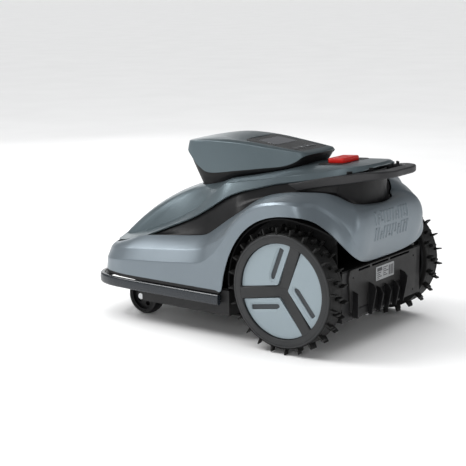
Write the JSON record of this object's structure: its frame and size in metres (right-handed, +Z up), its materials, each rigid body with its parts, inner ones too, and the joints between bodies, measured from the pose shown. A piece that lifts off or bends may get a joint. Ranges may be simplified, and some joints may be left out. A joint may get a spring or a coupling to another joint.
{
  "type": "robotic lawn mower",
  "caption": "Robotic lawn mower with lugged rear drive wheels, swivel front casters, height-adjustable cutting disc, painted shells, raised control pod, red stop button and rear carry handle.",
  "frame": {"origin": "centre of the bounding box on the ground plane under the wheels", "axes": "+Z up; the mower drives towards -Y; +X is its left side; +Y points to the carry handle at the tail"},
  "size_m": [0.4232, 0.6742, 0.3923],
  "materials": {
    "battery_wrap": "matte",
    "black_plastic": "fine texture",
    "blade_steel": "ground edge",
    "board_green": "solder mask",
    "body_paint": "satin metallic paint",
    "bronze": "sintered",
    "bumper_gloss": "gloss",
    "button_red": "satin",
    "contact_brass": "plated",
    "cover_paint": "satin metallic paint",
    "dark_plastic": "fine texture",
    "hub_plastic": "satin",
    "insert_paint": "satin",
    "key_plastic": "satin",
    "label_plate": "matte",
    "lens_glass": "polished",
    "motor_metal": "cast",
    "panel_gloss": "gloss",
    "soft_rubber": "matte",
    "steel": "brushed",
    "tyre_rubber": "moulded rubber"
  },
  "bodies": {
    "mower_body": {"lower_shell": "body_paint", "mid_shell": "black_plastic", "top_cover": "cover_paint", "pod_shell": "cover_paint", "pod_base": "black_plastic", "display_panel": "panel_gloss", "screen_window": "panel_gloss", "key_membrane": "soft_rubber", "camera_bezel": "panel_gloss", "camera_lenses": "lens_glass", "stop_bezel": "black_plastic", "stop_spring": "steel", "rear_handle": "black_plastic", "handle_clips": "black_plastic", "bumper_springs": "steel", "chassis_tub": "dark_plastic", "chassis_lid": "dark_plastic", "wheel_liners": "black_plastic", "rear_panel": "dark_plastic", "rating_plate": "label_plate", "rear_guard": "black_plastic", "wheel_motors": "motor_metal", "caster_bushes": "bronze", "height_motor": "motor_metal", "battery_pack": "battery_wrap", "battery_hatch": "dark_plastic", "chassis_screws": "steel", "main_board": "board_green", "charging_contacts": "contact_brass"},
    "left_wheel": {"hub_left": "hub_plastic", "inserts_left": "insert_paint", "tyre_left": "tyre_rubber", "drive_shaft_left": "steel"},
    "right_wheel": {"hub_right": "hub_plastic", "inserts_right": "insert_paint", "tyre_right": "tyre_rubber", "drive_shaft_right": "steel"},
    "caster_left": {"caster_fork_left": "dark_plastic", "caster_axle_left": "steel"},
    "caster_right": {"caster_fork_right": "dark_plastic", "caster_axle_right": "steel"},
    "caster_roller_left": {"caster_wheel_left": "black_plastic"},
    "caster_roller_right": {"caster_wheel_right": "black_plastic"},
    "cutting_deck": {"deck_carriage": "dark_plastic", "blade_motor": "motor_metal"},
    "height_spindle": {"height_screw": "steel"},
    "cutting_disc": {"blade_disc": "dark_plastic", "motor_shaft": "steel", "blade_bolts": "steel", "skid_screw": "steel"},
    "blade_a": {"blade_1": "blade_steel"},
    "blade_b": {"blade_2": "blade_steel"},
    "blade_c": {"blade_3": "blade_steel"},
    "skid": {"skid_plate": "black_plastic"},
    "stop_cap": {"stop_button": "button_red"},
    "power_key": {"key_power": "key_plastic"},
    "home_key": {"key_home": "key_plastic"},
    "mow_key": {"key_mow": "key_plastic"},
    "ok_key": {"key_ok": "key_plastic"},
    "bumper": {"front_bumper": "bumper_gloss"}
  },
  "joints": [
    {"name": "left_wheel_spin", "type": "hinge", "parent": "mower_body", "child": "left_wheel", "pos_m": [0.188, 0.187, 0.125], "axis": [1, 0, 0], "continuous": true},
    {"name": "right_wheel_spin", "type": "hinge", "parent": "mower_body", "child": "right_wheel", "pos_m": [-0.188, 0.187, 0.125], "axis": [1, 0, 0], "continuous": true},
    {"name": "left_caster_swivel", "type": "hinge", "parent": "mower_body", "child": "caster_left", "pos_m": [0.118, -0.251, 0.11], "axis": [0, 0, 1], "continuous": true},
    {"name": "right_caster_swivel", "type": "hinge", "parent": "mower_body", "child": "caster_right", "pos_m": [-0.118, -0.251, 0.11], "axis": [0, 0, 1], "continuous": true},
    {"name": "left_caster_roll", "type": "hinge", "parent": "caster_left", "child": "caster_roller_left", "pos_m": [0.118, -0.231, 0.041], "axis": [1, 0, 0], "continuous": true},
    {"name": "right_caster_roll", "type": "hinge", "parent": "caster_right", "child": "caster_roller_right", "pos_m": [-0.118, -0.231, 0.041], "axis": [1, 0, 0], "continuous": true},
    {"name": "deck_height", "type": "slide", "parent": "mower_body", "child": "cutting_deck", "axis": [0, 0, 1], "range_m": [0, 0.04]},
    {"name": "height_screw_turn", "type": "hinge", "parent": "mower_body", "child": "height_spindle", "pos_m": [0, -0.105, 0.15], "axis": [0, 0, 1], "range_deg": [-1800, 0]},
    {"name": "blade_disc_spin", "type": "hinge", "parent": "cutting_deck", "child": "cutting_disc", "pos_m": [0, -0.035, 0.03], "axis": [0, 0, 1], "continuous": true},
    {"name": "blade_1_swing", "type": "hinge", "parent": "cutting_disc", "child": "blade_a", "pos_m": [0.07621, 0.009, 0.02], "axis": [0, 0, 1], "continuous": true},
    {"name": "blade_2_swing", "type": "hinge", "parent": "cutting_disc", "child": "blade_b", "pos_m": [-0.07621, 0.009, 0.02], "axis": [0, 0, 1], "continuous": true},
    {"name": "blade_3_swing", "type": "hinge", "parent": "cutting_disc", "child": "blade_c", "pos_m": [0, -0.123, 0.02], "axis": [0, 0, 1], "continuous": true},
    {"name": "skid_plate_spin", "type": "hinge", "parent": "cutting_disc", "child": "skid", "pos_m": [0, -0.035, 0.015], "axis": [0, 0, 1], "continuous": true},
    {"name": "stop_press", "type": "slide", "parent": "mower_body", "child": "stop_cap", "axis": [0, 0.0593, -0.9982], "range_m": [0, 0.004], "stiffness_N_per_m": 800, "springref_m": -0.003, "deforming": ["stop_spring"]},
    {"name": "power_key_press", "type": "slide", "parent": "mower_body", "child": "power_key", "axis": [0, -0.1186, -0.9929], "range_m": [0, 0.001], "stiffness_N_per_m": 1500, "springref_m": -0.0005},
    {"name": "home_key_press", "type": "slide", "parent": "mower_body", "child": "home_key", "axis": [0, -0.1186, -0.9929], "range_m": [0, 0.001], "stiffness_N_per_m": 1500, "springref_m": -0.0005},
    {"name": "mow_key_press", "type": "slide", "parent": "mower_body", "child": "mow_key", "axis": [0, -0.1186, -0.9929], "range_m": [0, 0.001], "stiffness_N_per_m": 1500, "springref_m": -0.0005},
    {"name": "ok_key_press", "type": "slide", "parent": "mower_body", "child": "ok_key", "axis": [0, -0.1186, -0.9929], "range_m": [0, 0.001], "stiffness_N_per_m": 1500, "springref_m": -0.0005},
    {"name": "bumper_press", "type": "slide", "parent": "mower_body", "child": "bumper", "axis": [0, 1, 0], "range_m": [0, 0.008], "stiffness_N_per_m": 1500, "springref_m": -0.003, "deforming": ["bumper_springs"]}
  ],
  "couplings": [
    {"joint": "height_screw_turn", "follows": "deck_height", "rad_per_m": -785.4}
  ]
}
